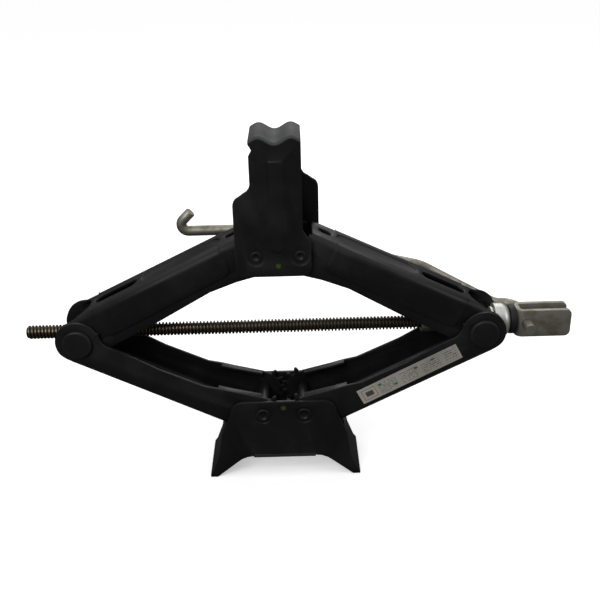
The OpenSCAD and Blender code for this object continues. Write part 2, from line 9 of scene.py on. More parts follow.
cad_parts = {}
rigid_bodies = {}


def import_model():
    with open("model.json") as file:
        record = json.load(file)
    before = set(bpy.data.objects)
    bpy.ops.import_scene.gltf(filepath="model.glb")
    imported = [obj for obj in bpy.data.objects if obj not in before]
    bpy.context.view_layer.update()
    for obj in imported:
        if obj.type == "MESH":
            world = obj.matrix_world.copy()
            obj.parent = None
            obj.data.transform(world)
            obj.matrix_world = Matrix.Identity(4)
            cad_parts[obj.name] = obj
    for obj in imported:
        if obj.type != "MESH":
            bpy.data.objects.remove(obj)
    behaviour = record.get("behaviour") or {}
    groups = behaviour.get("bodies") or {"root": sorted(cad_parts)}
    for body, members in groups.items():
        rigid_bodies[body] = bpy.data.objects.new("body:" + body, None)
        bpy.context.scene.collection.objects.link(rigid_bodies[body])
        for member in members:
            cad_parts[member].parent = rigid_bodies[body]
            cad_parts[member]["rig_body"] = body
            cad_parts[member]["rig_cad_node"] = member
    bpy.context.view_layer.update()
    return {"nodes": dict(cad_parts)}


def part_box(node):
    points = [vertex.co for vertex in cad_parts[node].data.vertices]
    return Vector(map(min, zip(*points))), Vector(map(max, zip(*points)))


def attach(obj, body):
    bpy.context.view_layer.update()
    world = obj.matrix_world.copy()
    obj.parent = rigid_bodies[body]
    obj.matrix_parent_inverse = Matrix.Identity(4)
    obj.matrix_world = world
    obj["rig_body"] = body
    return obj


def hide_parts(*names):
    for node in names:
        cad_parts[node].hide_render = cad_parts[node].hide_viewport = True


bl_info = {
    "name": "Scissor jack",
    "version": (1, 0, 0),
    "blender": (4, 5, 0),
    "location": "3D View > Sidebar > Scissor jack",
    "description": "Builds the finished pieces of a scissor jack around its packed frame",
    "category": "Add Mesh",
}

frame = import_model()
MM = 0.001
# Points of a cut nearer to its plane than this count as on it
SNAP = 0.0001 * MM
# Points of a mesh nearer to each other than this are joined
JOIN = 0.002 * MM
# How far the ribs stand out of the saddle's plates, and how far down the crown's waved edge is looked for
RIB_PROUD = 0.9 * MM
CROWN_DEPTH = 6.2 * MM
# How far down the crown's upward faces get a painted highlight, and where the inspector's dabs sit
CROWN_HIGHLIGHT_DEPTH = 8.5 * MM
SADDLE_DAB_BELOW_CROWN = 108 * MM
FOOT_DAB_HEIGHT = 72 * MM
FOOT_FACE_BEHIND_PIN = 2 * MM
# The pivot pins' shaft radius and the height of their heads
PIN_RADIUS = 5 * MM
PIN_DOME = 2.2 * MM
# Faces round one turn of the thread
THREAD_STEPS = 28
# Angle of the lower arm that carries the sticker, and of the sticker on it, in degrees
ARM_ANGLE = 25.8
STICKER_TILT = 2.0

# What each painted sheet-metal node becomes, and the body that it rides on
PAINTED_SHEET = {
    "foot": "foot",
    "lower_arm_left": "lower_left",
    "lower_arm_right": "lower_right",
    "upper_arm_left": "upper_left",
    "upper_arm_right": "upper_right",
    "saddle": "saddle",
}
SCREW_AXIS_Z = (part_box("screw")[0].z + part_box("screw")[1].z) / 2


# ---------- settings ----------


class PaintSettings(bpy.types.PropertyGroup):
    """Black dip paint on the sheet metal"""

    colour: bpy.props.FloatVectorProperty(
        name="Paint colour", description="Colour of clean paint", subtype="COLOR",
        size=3, min=0, max=1, default=(0.0072, 0.0072, 0.0084))
    dust: bpy.props.FloatVectorProperty(
        name="Dust colour", description="Colour of the handling marks and dust on the paint",
        subtype="COLOR", size=3, min=0, max=1, default=(0.019, 0.019, 0.021))
    roughness: bpy.props.FloatProperty(
        name="Paint roughness", description="Roughness of clean paint", min=0, max=1, default=0.42)
    edge_round: bpy.props.FloatProperty(
        name="Edge rounding", description="Width of the rounding along each sheared edge",
        subtype="DISTANCE", unit="LENGTH", min=0, default=0.45 * MM)
    # The crown colour is a painted highlight: the dull grey painted on the crown's upward faces where they
    # catch the light
    crown_highlight_colour: bpy.props.FloatVectorProperty(
        name="Crown highlight colour", description="Colour of the rubbed top of the saddle's crown",
        subtype="COLOR", size=3, min=0, max=1, default=(0.058, 0.059, 0.061))
    crown_bend: bpy.props.FloatProperty(
        name="Crown bend", description="Radius of the bends along the saddle's waved crown",
        subtype="DISTANCE", unit="LENGTH", min=0, default=2.6 * MM)
    rib_bend: bpy.props.FloatProperty(
        name="Rib bend", description="Radius of the bends round the ribs on the saddle",
        subtype="DISTANCE", unit="LENGTH", min=0, default=0.8 * MM)
    dab_colour: bpy.props.FloatVectorProperty(
        name="Dab colour", description="Colour of the inspector's paint dabs", subtype="COLOR",
        size=3, min=0, max=1, default=(0.045, 0.075, 0.008))
    dab_radius: bpy.props.FloatProperty(
        name="Dab radius", description="Radius of an inspector's paint dab",
        subtype="DISTANCE", unit="LENGTH", min=0, default=2.3 * MM)


class ScrewSettings(bpy.types.PropertyGroup):
    """The rolled trapezoidal thread"""

    pitch: bpy.props.FloatProperty(
        name="Pitch", description="Distance from one turn of the thread to the next",
        subtype="DISTANCE", unit="LENGTH", min=1 * MM, default=3 * MM)
    depth: bpy.props.FloatProperty(
        name="Thread depth", description="Depth of the thread from its crest to its root",
        subtype="DISTANCE", unit="LENGTH", min=0.2 * MM, default=1.5 * MM)
    # The root colour darkens the thread towards its roots, and the crest colour lightens it towards its
    # crests
    root_colour: bpy.props.FloatVectorProperty(
        name="Root colour", description="Colour in the thread's roots, darker than on the crests",
        subtype="COLOR", size=3, min=0, max=1, default=(0.010, 0.007, 0.004))
    crest_colour: bpy.props.FloatVectorProperty(
        name="Crest colour", description="Colour of the rubbed steel on the thread's crests",
        subtype="COLOR", size=3, min=0, max=1, default=(0.115, 0.090, 0.058))


class PlateSettings(bpy.types.PropertyGroup):
    """Zinc plating on the fork, sleeve, handle and bearing"""

    zinc: bpy.props.FloatVectorProperty(
        name="Zinc colour", description="Colour of the dull plating on the fork and the handle",
        subtype="COLOR", size=3, min=0, max=1, default=(0.34, 0.325, 0.285))
    tarnish: bpy.props.FloatVectorProperty(
        name="Tarnish colour", description="Colour of the plating where it has dulled",
        subtype="COLOR", size=3, min=0, max=1, default=(0.20, 0.185, 0.13))
    bright: bpy.props.FloatVectorProperty(
        name="Bright colour", description="Colour of the bright plating on the bearing",
        subtype="COLOR", size=3, min=0, max=1, default=(0.62, 0.63, 0.61))


class LabelSettings(bpy.types.PropertyGroup):
    """The plain sticker on the lower right arm"""

    film: bpy.props.FloatVectorProperty(
        name="Film colour", description="Colour of the sticker's film", subtype="COLOR",
        size=3, min=0, max=1, default=(0.47, 0.445, 0.40))
    accent: bpy.props.FloatVectorProperty(
        name="Frame colour", description="Colour of the thin frame at the sticker's inner end",
        subtype="COLOR", size=3, min=0, max=1, default=(0.30, 0.035, 0.03))
    second: bpy.props.FloatVectorProperty(
        name="Tab colour", description="Colour of the small tabs along the sticker",
        subtype="COLOR", size=3, min=0, max=1, default=(0.02, 0.15, 0.075))


class StageSettings(bpy.types.PropertyGroup):
    """Camera, floor and lights"""

    camera_place: bpy.props.FloatVectorProperty(
        name="Camera place", description="Where the camera stands", subtype="TRANSLATION",
        unit="LENGTH", size=3, default=(14.09 * MM, -675.05 * MM, 479.5 * MM))
    camera_heading: bpy.props.FloatProperty(
        name="Heading", description="Angle that the camera is turned to the right of +Y",
        subtype="ANGLE", unit="ROTATION", default=radians(0.26))
    camera_tilt: bpy.props.FloatProperty(
        name="Tilt", description="Angle that the camera looks down", subtype="ANGLE",
        unit="ROTATION", default=radians(25.06))
    camera_roll: bpy.props.FloatProperty(
        name="Roll", description="Angle that the camera is rolled about its line of sight",
        subtype="ANGLE", unit="ROTATION", default=radians(-1.42))
    lens: bpy.props.FloatProperty(
        name="Focal length", description="Focal length in millimetres on a 36 mm sensor",
        min=10, default=51.6)
    floor_size: bpy.props.FloatProperty(
        name="Floor size", description="Side of the square floor", subtype="DISTANCE",
        unit="LENGTH", min=1, default=16)


SETTINGS = {
    "jack_paint": PaintSettings,
    "jack_screw": ScrewSettings,
    "jack_plate": PlateSettings,
    "jack_label": LabelSettings,
    "jack_stage": StageSettings,
}


# ---------- mesh helpers ----------


def pick(piece):
    """Makes one object the only selected one."""
    bpy.ops.object.select_all(action="DESELECT")
    piece.select_set(True)
    bpy.context.view_layer.objects.active = piece


def edit(piece):
    """Opens a piece in edit mode with all of it selected."""
    pick(piece)
    bpy.ops.object.mode_set(mode="EDIT")
    bpy.ops.mesh.select_mode(type="VERT")
    bpy.ops.mesh.select_all(action="SELECT")


def leave_edit():
    bpy.ops.object.mode_set(mode="OBJECT")


def copy_of(node, name):
    """A copy of a CAD node with its loose triangles joined and its flat faces whole."""
    pick(frame["nodes"][node])
    bpy.ops.object.duplicate()
    piece = bpy.context.view_layer.objects.active
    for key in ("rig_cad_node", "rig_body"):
        if key in piece:
            del piece[key]
    piece.parent = None
    piece.name = name
    piece.data.name = name
    edit(piece)
    bpy.ops.mesh.remove_doubles(threshold=JOIN)
    bpy.ops.mesh.dissolve_limited(angle_limit=radians(0.4))
    leave_edit()
    return piece


def round_edges(piece, width, angle=34, segments=2, edge_slot=0):
    """Rounds the sharp edges of a piece. The new faces may take the piece's second material."""
    pick(piece)
    bevel = piece.modifiers.new("Edge rounding", "BEVEL")
    bevel.width = width
    bevel.segments = segments
    bevel.limit_method = "ANGLE"
    bevel.angle_limit = radians(angle)
    bevel.use_clamp_overlap = False
    bevel.miter_outer = "MITER_ARC"
    # The rounded faces can take the edge material, whose lighter patches are partly worn paint and partly a
    # painted highlight
    bevel.material = edge_slot
    bpy.ops.object.modifier_apply(modifier=bevel.name)


def bend_edges(piece, chosen, radius, segments=4):
    """Rounds the edges that a test on their two ends chooses, as a bend in the sheet does."""
    name = "bevel_weight_edge"
    weights = piece.data.attributes.get(name) or piece.data.attributes.new(name, "FLOAT", "EDGE")
    corners = piece.data.vertices
    for edge in piece.data.edges:
        ends = [corners[i].co for i in edge.vertices]
        weights.data[edge.index].value = 1.0 if chosen(*ends) else 0.0
    pick(piece)
    bevel = piece.modifiers.new("Bend", "BEVEL")
    bevel.width = radius
    bevel.segments = segments
    bevel.limit_method = "WEIGHT"
    bevel.use_clamp_overlap = False
    bpy.ops.object.modifier_apply(modifier=bevel.name)


def smooth(piece, angle=38):
    pick(piece)
    bpy.ops.object.shade_smooth_by_angle(angle=radians(angle))


def draw_chain(name, points):
    """A chain of edges, drawn by extruding one vertex from point to point."""
    bpy.ops.object.select_all(action="DESELECT")
    bpy.ops.mesh.primitive_plane_add(size=1 * MM)
    piece = bpy.context.view_layer.objects.active
    piece.name = name
    piece.data.name = name
    edit(piece)
    bpy.ops.mesh.merge(type="CENTER")
    bpy.ops.transform.translate(value=points[0])
    for before, after in zip(points, points[1:]):
        step = Vector(after) - Vector(before)
        bpy.ops.mesh.extrude_region_move(TRANSFORM_OT_translate={"value": step})
    return piece


def turn_on_lathe(name, profile, centre, along, steps=48):
    """A turned piece. The profile is a list of (distance along the axis, radius), and along is X or Y."""
    axis = Vector((1, 0, 0)) if along == "X" else Vector((0, 1, 0))
    points = [Vector(centre) + axis * place + Vector((0, 0, radius)) for place, radius in profile]
    piece = draw_chain(name, points)
    bpy.ops.mesh.select_all(action="SELECT")
    bpy.ops.mesh.spin(steps=steps, angle=2 * pi, center=centre, axis=axis)
    bpy.ops.mesh.select_all(action="SELECT")
    bpy.ops.mesh.remove_doubles(threshold=JOIN)
    bpy.ops.mesh.normals_make_consistent(inside=False)
    leave_edit()
    return piece


def finish_piece(piece, body, slot, *nodes):
    """Hides the nodes that a piece stands for and attaches the piece to its body; the slot is not used."""
    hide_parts(*nodes)
    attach(piece, body)


# ---------- node groups ----------


def new_group(name, inputs, outputs):
    """An empty node group with named value or colour sockets."""
    group = bpy.data.node_groups.new(name, "ShaderNodeTree")
    for label, kind, default in inputs:
        made = group.interface.new_socket(name=label, in_out="INPUT", socket_type=kind)
        if default is not None:
            made.default_value = default
    for label, kind in outputs:
        group.interface.new_socket(name=label, in_out="OUTPUT", socket_type=kind)
    return group, group.nodes.new("NodeGroupInput"), group.nodes.new("NodeGroupOutput")


def noise(tree, vector, scale, detail=4.0, roughness=0.55):
    node = tree.nodes.new("ShaderNodeTexNoise")
    node.inputs["Detail"].default_value = detail
    node.inputs["Roughness"].default_value = roughness
    if isinstance(scale, (int, float)):
        node.inputs["Scale"].default_value = scale
    else:
        tree.links.new(scale, node.inputs["Scale"])
    tree.links.new(vector, node.inputs["Vector"])
    return node.outputs["Fac"]


def step_mask(tree, value, low, high):
    """A mask that goes from 0 at low to 1 at high."""
    node = tree.nodes.new("ShaderNodeMapRange")
    node.interpolation_type = "SMOOTHSTEP"
    tree.links.new(value, node.inputs["Value"])
    node.inputs["From Min"].default_value = low
    node.inputs["From Max"].default_value = high
    return node.outputs["Result"]


def calc(tree, operation, first, second=0.0):
    node = tree.nodes.new("ShaderNodeMath")
    node.operation = operation
    for socket, value in zip(node.inputs, (first, second)):
        if isinstance(value, (int, float)):
            socket.default_value = value
        else:
            tree.links.new(value, socket)
    return node.outputs[0]


def mix_colour(tree, factor, first, second):
    node = tree.nodes.new("ShaderNodeMix")
    node.data_type = "RGBA"
    tree.links.new(factor, node.inputs["Factor"])
    first_socket = next(s for s in node.inputs if s.name == "A" and s.type == "RGBA")
    second_socket = next(s for s in node.inputs if s.name == "B" and s.type == "RGBA")
    for socket, value in ((first_socket, first), (second_socket, second)):
        if hasattr(value, "is_linked"):
            tree.links.new(value, socket)
        else:
            socket.default_value = (*value[:3], 1)
    return next(s for s in node.outputs if s.type == "RGBA")


def separate(tree, vector):
    node = tree.nodes.new("ShaderNodeSeparateXYZ")
    tree.links.new(vector, node.inputs[0])
    return node.outputs


def surface_group():
    """Fine grain and broad smudges, shared by every finish."""
    if "Surface marks" in bpy.data.node_groups:
        return bpy.data.node_groups["Surface marks"]
    group, given, out = new_group(
        "Surface marks",
        [("Vector", "NodeSocketVector", None), ("Grain scale", "NodeSocketFloat", 1500.0),
         ("Smudge scale", "NodeSocketFloat", 30.0)],
        [("Grain", "NodeSocketFloat"), ("Smudge", "NodeSocketFloat"), ("Specks", "NodeSocketFloat")])
    grain = noise(group, given.outputs["Vector"], given.outputs["Grain scale"], 3.0)
    smudge = noise(group, given.outputs["Vector"], given.outputs["Smudge scale"], 6.0, 0.6)
    fine = noise(group, given.outputs["Vector"], 900.0, 2.0, 0.5)
    group.links.new(grain, out.inputs["Grain"])
    group.links.new(step_mask(group, smudge, 0.42, 0.68), out.inputs["Smudge"])
    group.links.new(step_mask(group, fine, 0.66, 0.72), out.inputs["Specks"])
    return group


def spot_group():
    """A ragged round spot about a point, as a dab of thick paint."""
    if "Paint spot" in bpy.data.node_groups:
        return bpy.data.node_groups["Paint spot"]
    group, given, out = new_group(
        "Paint spot",
        [("Vector", "NodeSocketVector", None), ("Centre", "NodeSocketVector", None),
         ("Radius", "NodeSocketFloat", 0.002)],
        [("Mask", "NodeSocketFloat")])
    apart = group.nodes.new("ShaderNodeVectorMath")
    apart.operation = "DISTANCE"
    group.links.new(given.outputs["Vector"], apart.inputs[0])
    group.links.new(given.outputs["Centre"], apart.inputs[1])
    ragged = noise(group, given.outputs["Vector"], 600.0, 3.0)
    wobble = calc(group, "MULTIPLY", calc(group, "SUBTRACT", ragged, 0.5), 0.0022)
    edge = calc(group, "ADD", apart.outputs["Value"], wobble)
    share = calc(group, "DIVIDE", edge, given.outputs["Radius"])
    group.links.new(step_mask(group, share, 1.12, 0.88), out.inputs["Mask"])
    return group


# ---------- materials ----------


def new_material(name):
    """A material with its shader, its Object coordinates and the shared surface marks."""
    made = bpy.data.materials.new(name)
    made.use_nodes = True
    tree = made.node_tree
    shader = next(n for n in tree.nodes if n.type == "BSDF_PRINCIPLED")
    place = tree.nodes.new("ShaderNodeTexCoord").outputs["Object"]
    marks = tree.nodes.new("ShaderNodeGroup")
    marks.node_tree = surface_group()
    tree.links.new(place, marks.inputs["Vector"])
    return made, tree, shader, place, marks


def bump(tree, shader, height, distance, strength=1.0):
    node = tree.nodes.new("ShaderNodeBump")
    node.inputs["Distance"].default_value = distance
    node.inputs["Strength"].default_value = strength
    tree.links.new(height, node.inputs["Height"])
    tree.links.new(node.outputs["Normal"], shader.inputs["Normal"])


def vary(tree, socket, mask, low, high):
    """A socket that goes from low where the mask is 0 to high where it is 1."""
    node = tree.nodes.new("ShaderNodeMapRange")
    tree.links.new(mask, node.inputs["Value"])
    node.inputs["To Min"].default_value = low
    node.inputs["To Max"].default_value = high
    tree.links.new(node.outputs["Result"], socket)


def black_paint(name, edge=False, dab_at=None, highlight_from=None):
    """Black dip paint. An edge gets lighter patches, partly paint worn thin and partly a painted highlight,
    a dab has thick green paint on it, and above the height given last the upward faces get a painted
    highlight in dull grey, where the crown catches the light."""
    if name in bpy.data.materials:
        return bpy.data.materials[name]
    paint = bpy.context.scene.jack_paint
    made, tree, shader, place, marks = new_material(name)
    marks.inputs["Grain scale"].default_value = 700.0
    marks.inputs["Smudge scale"].default_value = 26.0
    dusty = calc(tree, "MULTIPLY", marks.outputs["Smudge"], 0.35)
    colour = mix_colour(tree, dusty, paint.colour, paint.dust)
    rough = calc(tree, "ADD", calc(tree, "MULTIPLY", marks.outputs["Smudge"], 0.14), paint.roughness)
    # Edges get lighter grey patches: partly paint worn thin, partly a painted highlight along the edge
    if edge:
        lightened = calc(tree, "MULTIPLY", marks.outputs["Smudge"], 0.4)
        colour = mix_colour(tree, lightened, colour, (0.04, 0.04, 0.042))
    # Painted highlight: above the given height, faces that look up are painted dull grey, patchy with
    # grain, where the crown's top catches the light; roughness rises there too
    if highlight_from is not None:
        high = step_mask(tree, separate(tree, place)[2], highlight_from, highlight_from + 1 * MM)
        facing = tree.nodes.new("ShaderNodeTexCoord").outputs["Normal"]
        high = calc(tree, "MULTIPLY", high, step_mask(tree, separate(tree, facing)[2], 0.12, 0.4))
        patchy_highlight = calc(tree, "MULTIPLY", high, calc(tree, "ADD", marks.outputs["Grain"], 0.45))
        colour = mix_colour(tree, patchy_highlight, colour, paint.crown_highlight_colour)
        rough = calc(tree, "ADD", rough, calc(tree, "MULTIPLY", high, 0.25))
    if dab_at is not None:
        spot = tree.nodes.new("ShaderNodeGroup")
        spot.node_tree = spot_group()
        tree.links.new(place, spot.inputs["Vector"])
        spot.inputs["Centre"].default_value = dab_at
        spot.inputs["Radius"].default_value = paint.dab_radius
        colour = mix_colour(tree, spot.outputs["Mask"], colour, paint.dab_colour)
    specks = calc(tree, "MULTIPLY", marks.outputs["Specks"], 0.18)
    speckled = mix_colour(tree, specks, colour, (0.05, 0.05, 0.048))
    tree.links.new(speckled, shader.inputs["Base Color"])
    tree.links.new(rough, shader.inputs["Roughness"])
    shader.inputs["Specular IOR Level"].default_value = 0.26
    bump(tree, shader, marks.outputs["Grain"], 0.05 * MM, 0.5)
    return made


def plated(name, clean, dull, low, high, grain):
    """Zinc plating: a clean colour with dull patches, and a roughness between two values."""
    if name in bpy.data.materials:
        return bpy.data.materials[name]
    made, tree, shader, _, marks = new_material(name)
    marks.inputs["Grain scale"].default_value = grain
    marks.inputs["Smudge scale"].default_value = 70.0
    tree.links.new(mix_colour(tree, marks.outputs["Smudge"], clean, dull), shader.inputs["Base Color"])
    shader.inputs["Metallic"].default_value = 0.8
    vary(tree, shader.inputs["Roughness"], marks.outputs["Smudge"], low, high)
    bump(tree, shader, marks.outputs["Grain"], 0.03 * MM, 0.5)
    return made


def oiled_thread():
    """Rolled steel, darker in the roots of the thread and lighter on the crests."""
    screw = bpy.context.scene.jack_screw
    made, tree, shader, place, marks = new_material("Oiled thread")
    centred = tree.nodes.new("ShaderNodeVectorMath")
    centred.operation = "SUBTRACT"
    centred.inputs[1].default_value = (0, 0, SCREW_AXIS_Z)
    tree.links.new(place, centred.inputs[0])
    parts = separate(tree, centred.outputs[0])
    side_square = calc(tree, "MULTIPLY", parts[1], parts[1])
    height_square = calc(tree, "MULTIPLY", parts[2], parts[2])
    radius = calc(tree, "SQRT", calc(tree, "ADD", side_square, height_square))
    outer = (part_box("screw")[1].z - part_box("screw")[0].z) / 2
    # Darker towards the thread's roots and lighter towards its crests, set by the distance from the axis
    crest = step_mask(tree, radius, outer - screw.depth * 0.75, outer - 0.05 * MM)
    kept = calc(tree, "SUBTRACT", 1.0, calc(tree, "MULTIPLY", marks.outputs["Smudge"], 0.5))
    lightened = calc(tree, "MULTIPLY", crest, kept)
    colour = mix_colour(tree, lightened, screw.root_colour, screw.crest_colour)
    tree.links.new(colour, shader.inputs["Base Color"])
    vary(tree, shader.inputs["Metallic"], lightened, 0.35, 0.95)
    vary(tree, shader.inputs["Roughness"], lightened, 0.5, 0.33)
    bump(tree, shader, marks.outputs["Grain"], 0.03 * MM, 0.4)
    return made


def sticker_material():
    """A plain sticker: grey film with a frame, small tabs and four blocks of short bars."""
    label = bpy.context.scene.jack_label
    made, tree, shader, place, marks = new_material("Sticker")
    low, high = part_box("label")
    slope = -radians(ARM_ANGLE + STICKER_TILT)
    mapping = tree.nodes.new("ShaderNodeMapping")
    mapping.vector_type = "TEXTURE"
    mapping.inputs["Location"].default_value = (low + high) / 2
    mapping.inputs["Rotation"].default_value = (0, slope, 0)
    tree.links.new(place, mapping.inputs["Vector"])
    parts = separate(tree, mapping.outputs[0])
    along, across = parts[0], parts[2]

    def inside(value, middle, half, soft=0.15 * MM):
        away = calc(tree, "ABSOLUTE", calc(tree, "SUBTRACT", value, middle))
        return step_mask(tree, away, half + soft, half - soft)

    def patch(middle, half_long, height_middle, half_high):
        within = inside(along, middle, half_long)
        return calc(tree, "MULTIPLY", within, inside(across, height_middle, half_high))

    def frame_line(middle, half_long, height_middle, half_high, line=0.45 * MM):
        inner = patch(middle, half_long - line, height_middle, half_high - line)
        outer = patch(middle, half_long, height_middle, half_high)
        return calc(tree, "MULTIPLY", outer, calc(tree, "SUBTRACT", 1.0, inner))

    printed = (0.075, 0.073, 0.070)
    colour = mix_colour(tree, marks.outputs["Smudge"], label.film, [0.82 * c for c in label.film])
    for middle, half_long in ((-20.5, 9.5), (0.5, 9.5), (21.5, 9.5), (39.5, 6.5)):
        rows = calc(tree, "FRACT", calc(tree, "DIVIDE", across, (1.6 + 0.02 * middle) * MM))
        bars = step_mask(tree, rows, 0.45, 0.6)
        gaps = step_mask(tree, noise(tree, mapping.outputs[0], 560.0 + 4 * middle, 1.0), 0.44, 0.50)
        block = patch(middle * MM, (half_long - 1) * MM, 0, 5.4 * MM)
        block = calc(tree, "MULTIPLY", block, calc(tree, "MULTIPLY", bars, gaps))
        colour = mix_colour(tree, calc(tree, "MULTIPLY", block, 0.8), colour, printed)
        line = frame_line(middle * MM, half_long * MM, 0, 6.4 * MM, 0.25 * MM)
        colour = mix_colour(tree, calc(tree, "MULTIPLY", line, 0.5), colour, printed)
    colour = mix_colour(tree, frame_line(-38.5 * MM, 6.5 * MM, 0, 5.2 * MM), colour, label.accent)
    colour = mix_colour(tree, patch(-38.5 * MM, 3.6 * MM, 0, 2.4 * MM), colour, printed)
    for middle, height in ((-27, 3.6), (-14, -2.4), (8, 3.2), (24, 3.8)):
        colour = mix_colour(tree, patch(middle * MM, 1.6 * MM, height * MM, 0.9 * MM), colour, label.second)
    tree.links.new(colour, shader.inputs["Base Color"])
    vary(tree, shader.inputs["Roughness"], marks.outputs["Smudge"], 0.34, 0.5)
    bump(tree, shader, marks.outputs["Grain"], 0.02 * MM, 0.3)
    return made


def floor_material():
    """A pale floor that returns little light to the object."""
    made = bpy.data.materials.new("Pale floor")
    made.use_nodes = True
    tree = made.node_tree
    shader = next(n for n in tree.nodes if n.type == "BSDF_PRINCIPLED")
    shader.inputs["Base Color"].default_value = (0.93, 0.93, 0.93, 1)
    shader.inputs["Roughness"].default_value = 0.9
    shader.inputs["Specular IOR Level"].default_value = 0.0
    shader.inputs["Emission Color"].default_value = (1, 1, 1, 1)
    shader.inputs["Emission Strength"].default_value = 0.42
    dim = tree.nodes.new("ShaderNodeBsdfDiffuse")
    dim.inputs["Color"].default_value = (0.10, 0.10, 0.10, 1)
    light_path = tree.nodes.new("ShaderNodeLightPath")
    mix = tree.nodes.new("ShaderNodeMixShader")
    out = next(n for n in tree.nodes if n.type == "OUTPUT_MATERIAL")
    tree.links.new(light_path.outputs["Is Camera Ray"], mix.inputs["Fac"])
    tree.links.new(dim.outputs[0], mix.inputs[1])
    tree.links.new(shader.outputs[0], mix.inputs[2])
    tree.links.new(mix.outputs[0], out.inputs["Surface"])
    return made


def paint_piece(piece, *finishes):
    piece.data.materials.clear()
    for finish in finishes:
        piece.data.materials.append(finish)


# ---------- pieces ----------


class JACK_OT_sheet_metal(bpy.types.Operator):
    """Rounds the sheared edges of the foot, the arms and the saddle, and paints them"""

    bl_idname = "jack.sheet_metal"
    bl_label = "Sheet metal"

    def execute(self, context):
        paint = context.scene.jack_paint
        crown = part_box("saddle")[1].z
        saddle_dab = (0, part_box("saddle")[0].y, crown - SADDLE_DAB_BELOW_CROWN)
        foot_dab = (0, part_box("foot_pin_left")[0].y + FOOT_FACE_BEHIND_PIN, FOOT_DAB_HEIGHT)
        special = {
            # The saddle's crown gets a painted highlight on its upward faces from this height up
            "saddle": dict(dab_at=saddle_dab, highlight_from=crown - CROWN_HIGHLIGHT_DEPTH),
            "foot": dict(dab_at=foot_dab),
        }
        for node, body in PAINTED_SHEET.items():
            piece = copy_of(node, node + "_painted")
            finish = black_paint("Black paint on " + node.split("_")[0], **special.get(node, {}))
            # The second material, for the rounded edges, is partly worn paint and partly a painted edge
            # highlight
            paint_piece(piece, finish, black_paint("Black paint, rubbed edge", edge=True))
            if node == "saddle":
                bend_edges(piece, self.on_crown_edge, paint.crown_bend)
                bend_edges(piece, self.on_rib_edge, paint.rib_bend)
            round_edges(piece, paint.edge_round, edge_slot=1)
            smooth(piece)
            finish_piece(piece, body, "black_paint", node)
        return {"FINISHED"}

    @staticmethod
    def on_crown_edge(start, end):
        """True along the outer edges of the crown's waved top, on the faces of its two plates."""
        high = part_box("saddle")[1]
        face = high.y - RIB_PROUD
        on_face = abs(abs(start.y) - face) < 0.1 * MM and abs(end.y - start.y) < 0.1 * MM
        across = abs(end.x - start.x) > 0.5 * abs(end.z - start.z)
        return on_face and across and min(start.z, end.z) > high.z - CROWN_DEPTH

    @staticmethod
    def on_rib_edge(start, end):
        """True round the outer face of the ribs pressed up the saddle's two plates."""
        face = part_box("saddle")[1].y
        return all(abs(abs(corner.y) - face) < 0.05 * MM for corner in (start, end))


class JACK_OT_pins(bpy.types.Operator):
    """Turns the four pivot pins, with a domed and staked head at each end"""

    bl_idname = "jack.pins"
    bl_label = "Pivot pins"

    def execute(self, context):
        for place, body in (("foot", "foot"), ("saddle", "saddle")):
            for side in ("left", "right"):
                node = f"{place}_pin_{side}"
                low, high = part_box(node)
                half = self.head_profile(high.y - PIN_DOME, (high.x - low.x) / 2)
                profile = [(-y, r) for y, r in reversed(half)] + half
                middle = Vector(((low.x + high.x) / 2, 0, (low.z + high.z) / 2))
                piece = turn_on_lathe(node + "_turned", profile, middle, "Y")
                paint_piece(piece, black_paint("Black paint on pins"))
                smooth(piece, 50)
                finish_piece(piece, body, "black_paint", node)
        return {"FINISHED"}

    @staticmethod
    def head_profile(face, head):
        """Half section of a head: from the shaft, over the rounded rim, down into the dished middle."""
        seat = face - 0.1 * MM
        rim = face + 0.2 * MM
        rim_rise, rim_width = 0.8 * MM, 1.3 * MM
        turns = [radians(30 * i) for i in range(1, 6)]
        over_rim = [(rim + rim_rise * sin(t), head - rim_width * (1 - cos(t))) for t in turns]
        dish_lip = (face + 0.1 * MM, head - 3.0 * MM)
        dish_side = (face - 0.5 * MM, head - 3.9 * MM)
        dish_middle = (face - 0.6 * MM, 0)
        return [(seat, PIN_RADIUS), (seat, head), (rim, head), *over_rim, dish_lip, dish_side, dish_middle]


class JACK_OT_trunnions(bpy.types.Operator):
    """Rounds the two trunnions and their heads"""

    bl_idname = "jack.trunnions"
    bl_label = "Trunnions"

    def execute(self, context):
        for node, body in (("nut_trunnion", "nut_end"), ("thrust_trunnion", "thrust_end")):
            piece = copy_of(node, node + "_forged")
            # The edge material's lighter patches are partly worn paint and partly a painted edge highlight
            lightened = black_paint("Black paint, rubbed edge", edge=True)
            paint_piece(piece, black_paint("Black paint on pins"), lightened)
            round_edges(piece, 0.35 * MM, angle=25, edge_slot=1)
            smooth(piece)
            finish_piece(piece, body, "black_paint", node)
        return {"FINISHED"}


